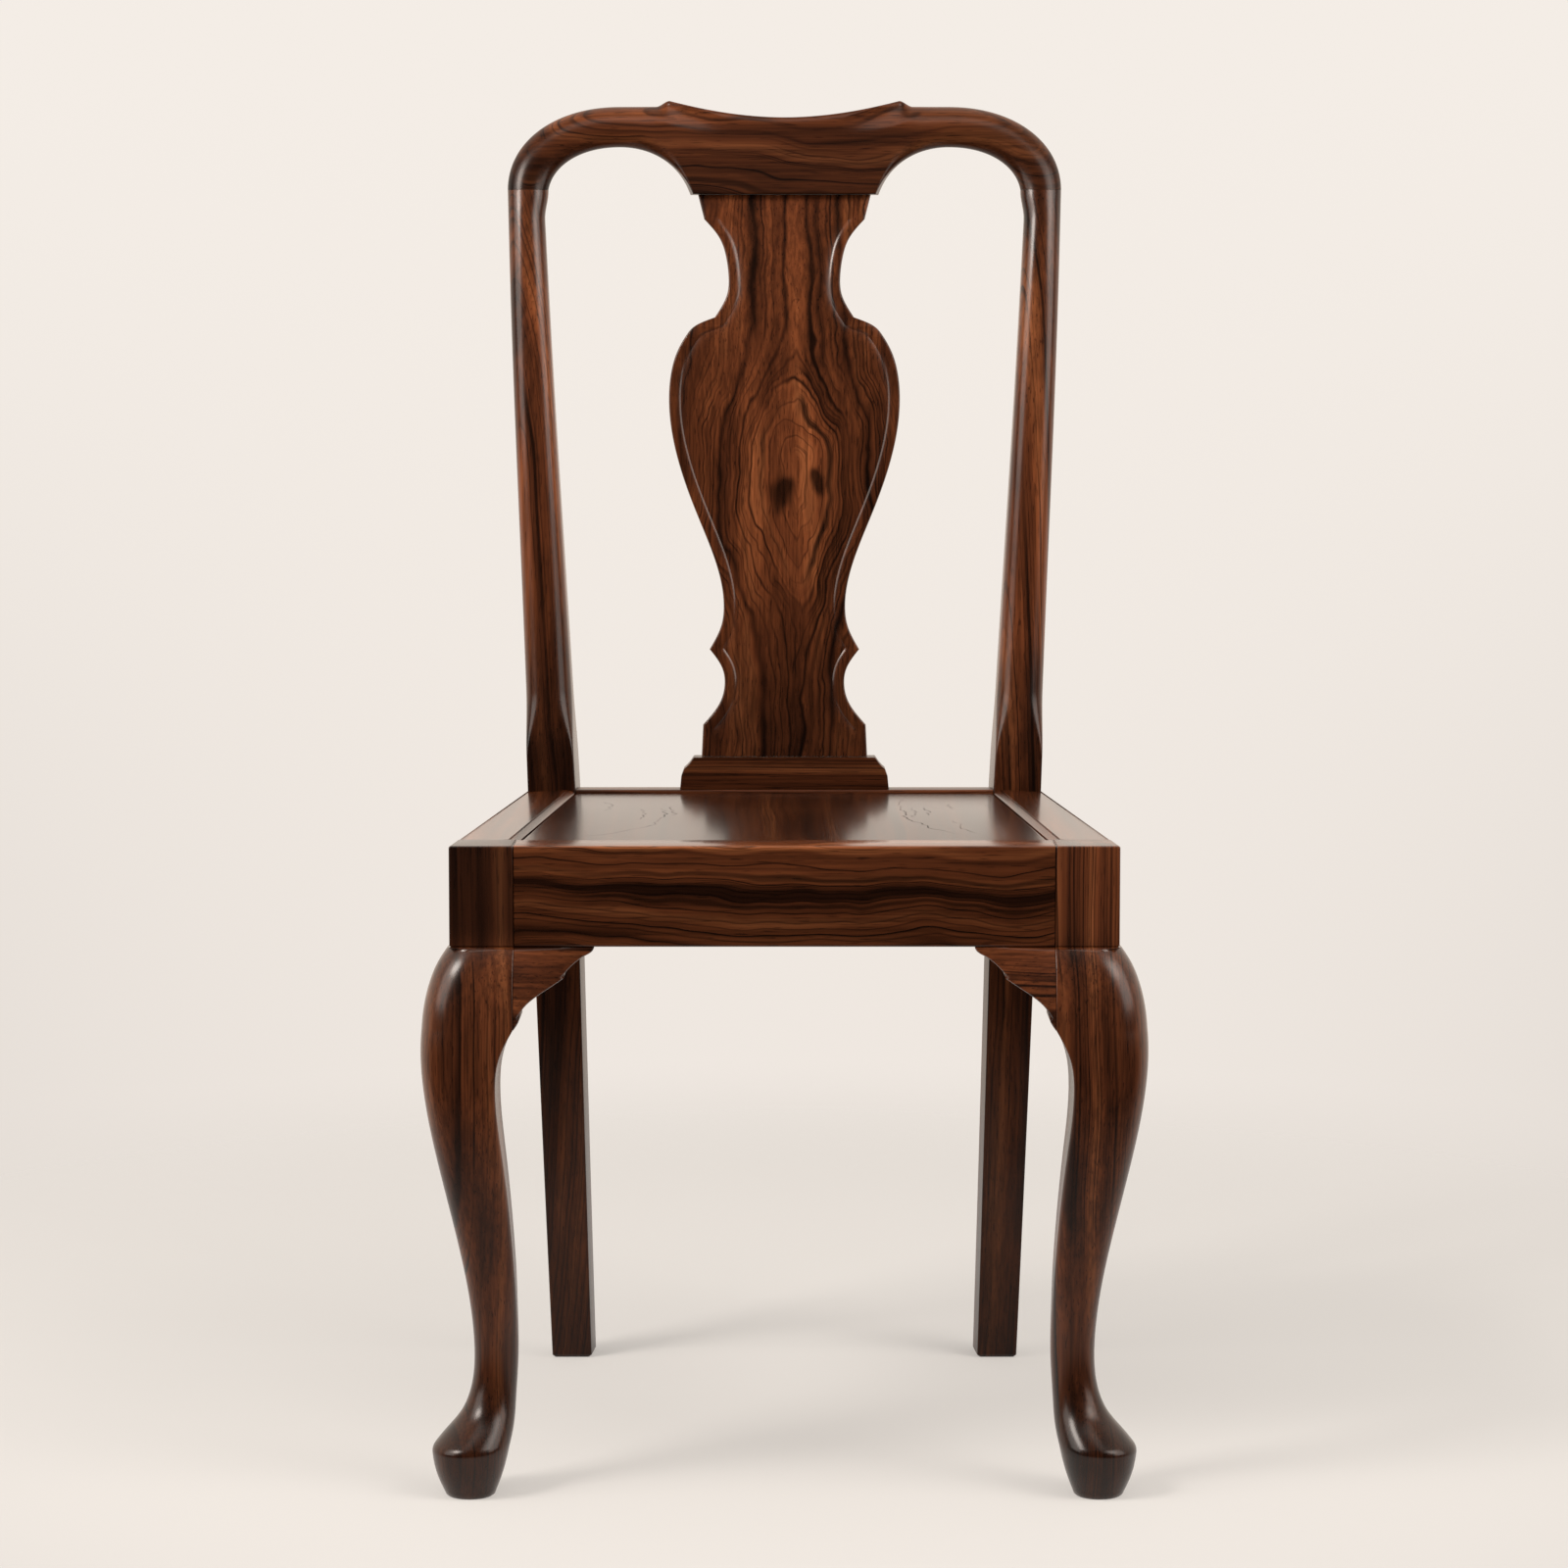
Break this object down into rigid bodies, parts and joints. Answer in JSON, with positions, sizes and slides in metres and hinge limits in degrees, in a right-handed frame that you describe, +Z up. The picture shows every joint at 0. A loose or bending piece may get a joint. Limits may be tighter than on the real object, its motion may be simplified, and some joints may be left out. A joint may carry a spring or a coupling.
{
  "type": "dining chair",
  "caption": "Wooden dining chair with cabriole front legs, raked rear legs, a vase-shaped back splat, a yoke crest rail and a framed flat seat, for one person to sit at a table.",
  "frame": {"origin": "on the floor, under the centre of the chair's bounding box", "axes": "+X to the viewer's right facing the chair's front, +Y from the front of the seat to the back, +Z up"},
  "size_m": [0.5134, 0.5366, 1.0153],
  "materials": {
    "rosewood": "satin-gloss lacquer over dark-streaked reddish brown grain",
    "secondary_wood": "plain sawn, unlacquered",
    "screw_steel": "dull"
  },
  "bodies": {
    "root": {"front_leg_left": "rosewood", "front_leg_right": "rosewood", "rear_post_left": "rosewood", "rear_post_right": "rosewood", "front_rail": "rosewood", "back_rail": "rosewood", "side_rail_left": "rosewood", "side_rail_right": "rosewood", "seat_panel": "rosewood", "splat": "rosewood", "splat_shoe": "rosewood", "crest_rail": "rosewood", "front_bracket_left": "rosewood", "front_bracket_right": "rosewood", "side_bracket_left": "rosewood", "side_bracket_right": "rosewood", "seat_batten_left": "secondary_wood", "seat_batten_right": "secondary_wood", "corner_block_front_left": "secondary_wood", "corner_block_front_right": "secondary_wood", "corner_block_rear_left": "secondary_wood", "corner_block_rear_right": "secondary_wood", "shoe_dowel_left": "secondary_wood", "shoe_dowel_right": "secondary_wood", "block_screw_front_left_cross": "screw_steel", "block_screw_front_left_side": "screw_steel", "block_screw_front_right_cross": "screw_steel", "block_screw_front_right_side": "screw_steel", "block_screw_rear_left_cross": "screw_steel", "block_screw_rear_left_side": "screw_steel", "block_screw_rear_right_cross": "screw_steel", "block_screw_rear_right_side": "screw_steel"}
  },
  "joints": []
}
